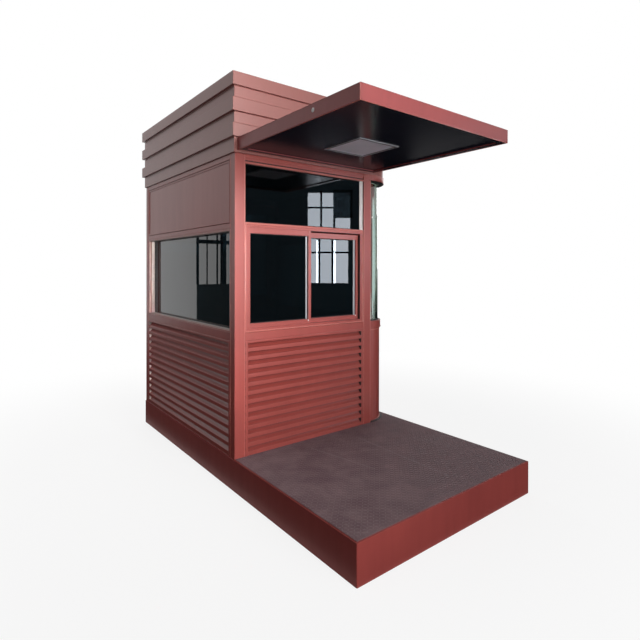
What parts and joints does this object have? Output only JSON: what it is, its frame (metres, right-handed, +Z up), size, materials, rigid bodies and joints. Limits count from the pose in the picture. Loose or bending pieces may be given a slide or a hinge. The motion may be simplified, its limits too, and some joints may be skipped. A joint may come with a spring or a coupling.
{
  "type": "security guard booth",
  "caption": "Prefabricated guard cabin with a rounded glass corner, ribbed lower walls, sliding front window, open front deck and cantilever canopy.",
  "frame": {"origin": "on the ground at the centre of the whole booth's plan, fascia included", "axes": "+X along the front wall from the square corner to the rounded corner, -Y the front with the deck and canopy, +Z up"},
  "size_m": [1.55, 2.968, 2.72],
  "materials": {
    "oxblood_paint": "satin powder coat",
    "primed_steel": "matte primer",
    "deck_paint": "worn matte paint on chequer plate",
    "floor_plywood": "oiled",
    "glazing_aluminium": "satin",
    "window_glass": "tinted, glossy",
    "roof_sheet": "galvanised, matte",
    "ceiling_sheet": "satin white",
    "soffit_panel": "glossy dark panel",
    "lamp_housing": "satin",
    "lamp_diffuser": "opal",
    "door_fittings": "brushed"
  },
  "bodies": {
    "root": {"base_side_beams": "oxblood_paint", "base_end_beams": "oxblood_paint", "front_left_post": "oxblood_paint", "front_right_post": "oxblood_paint", "corner_side_post": "oxblood_paint", "back_posts": "oxblood_paint", "front_ribbed_panel": "oxblood_paint", "left_ribbed_panel": "oxblood_paint", "right_ribbed_panel": "oxblood_paint", "back_ribbed_panel": "oxblood_paint", "corner_lower_panel": "oxblood_paint", "sill_rails": "oxblood_paint", "corner_sill_rail": "oxblood_paint", "front_head_rail": "oxblood_paint", "corner_head_rail": "oxblood_paint", "front_window_frame": "oxblood_paint", "front_fixed_leaf": "oxblood_paint", "front_sliding_leaf": "oxblood_paint", "left_upper_panel": "oxblood_paint", "right_upper_panel": "oxblood_paint", "back_upper_panel": "oxblood_paint", "fascia_front": "oxblood_paint", "fascia_left": "oxblood_paint", "fascia_right": "oxblood_paint", "fascia_back": "oxblood_paint", "fascia_corner": "oxblood_paint", "canopy_frame": "oxblood_paint", "canopy_top_sheet": "oxblood_paint", "door_frame": "oxblood_paint", "door_leaf": "oxblood_paint", "base_cross_members": "primed_steel", "roof_frame": "primed_steel", "deck_plate": "deck_paint", "cabin_floor": "floor_plywood", "left_window_frame": "glazing_aluminium", "right_window_frame": "glazing_aluminium", "back_window_frame": "glazing_aluminium", "front_window_glass": "window_glass", "left_window_glass": "window_glass", "right_window_glass": "window_glass", "back_window_glass": "window_glass", "corner_glass": "window_glass", "door_glass": "window_glass", "roof_deck": "roof_sheet", "ceiling_panel": "ceiling_sheet", "canopy_soffit": "soffit_panel", "canopy_lamp_housing": "lamp_housing", "canopy_lamp_diffuser": "lamp_diffuser", "door_handle": "door_fittings", "door_hinges": "door_fittings"}
  },
  "joints": []
}
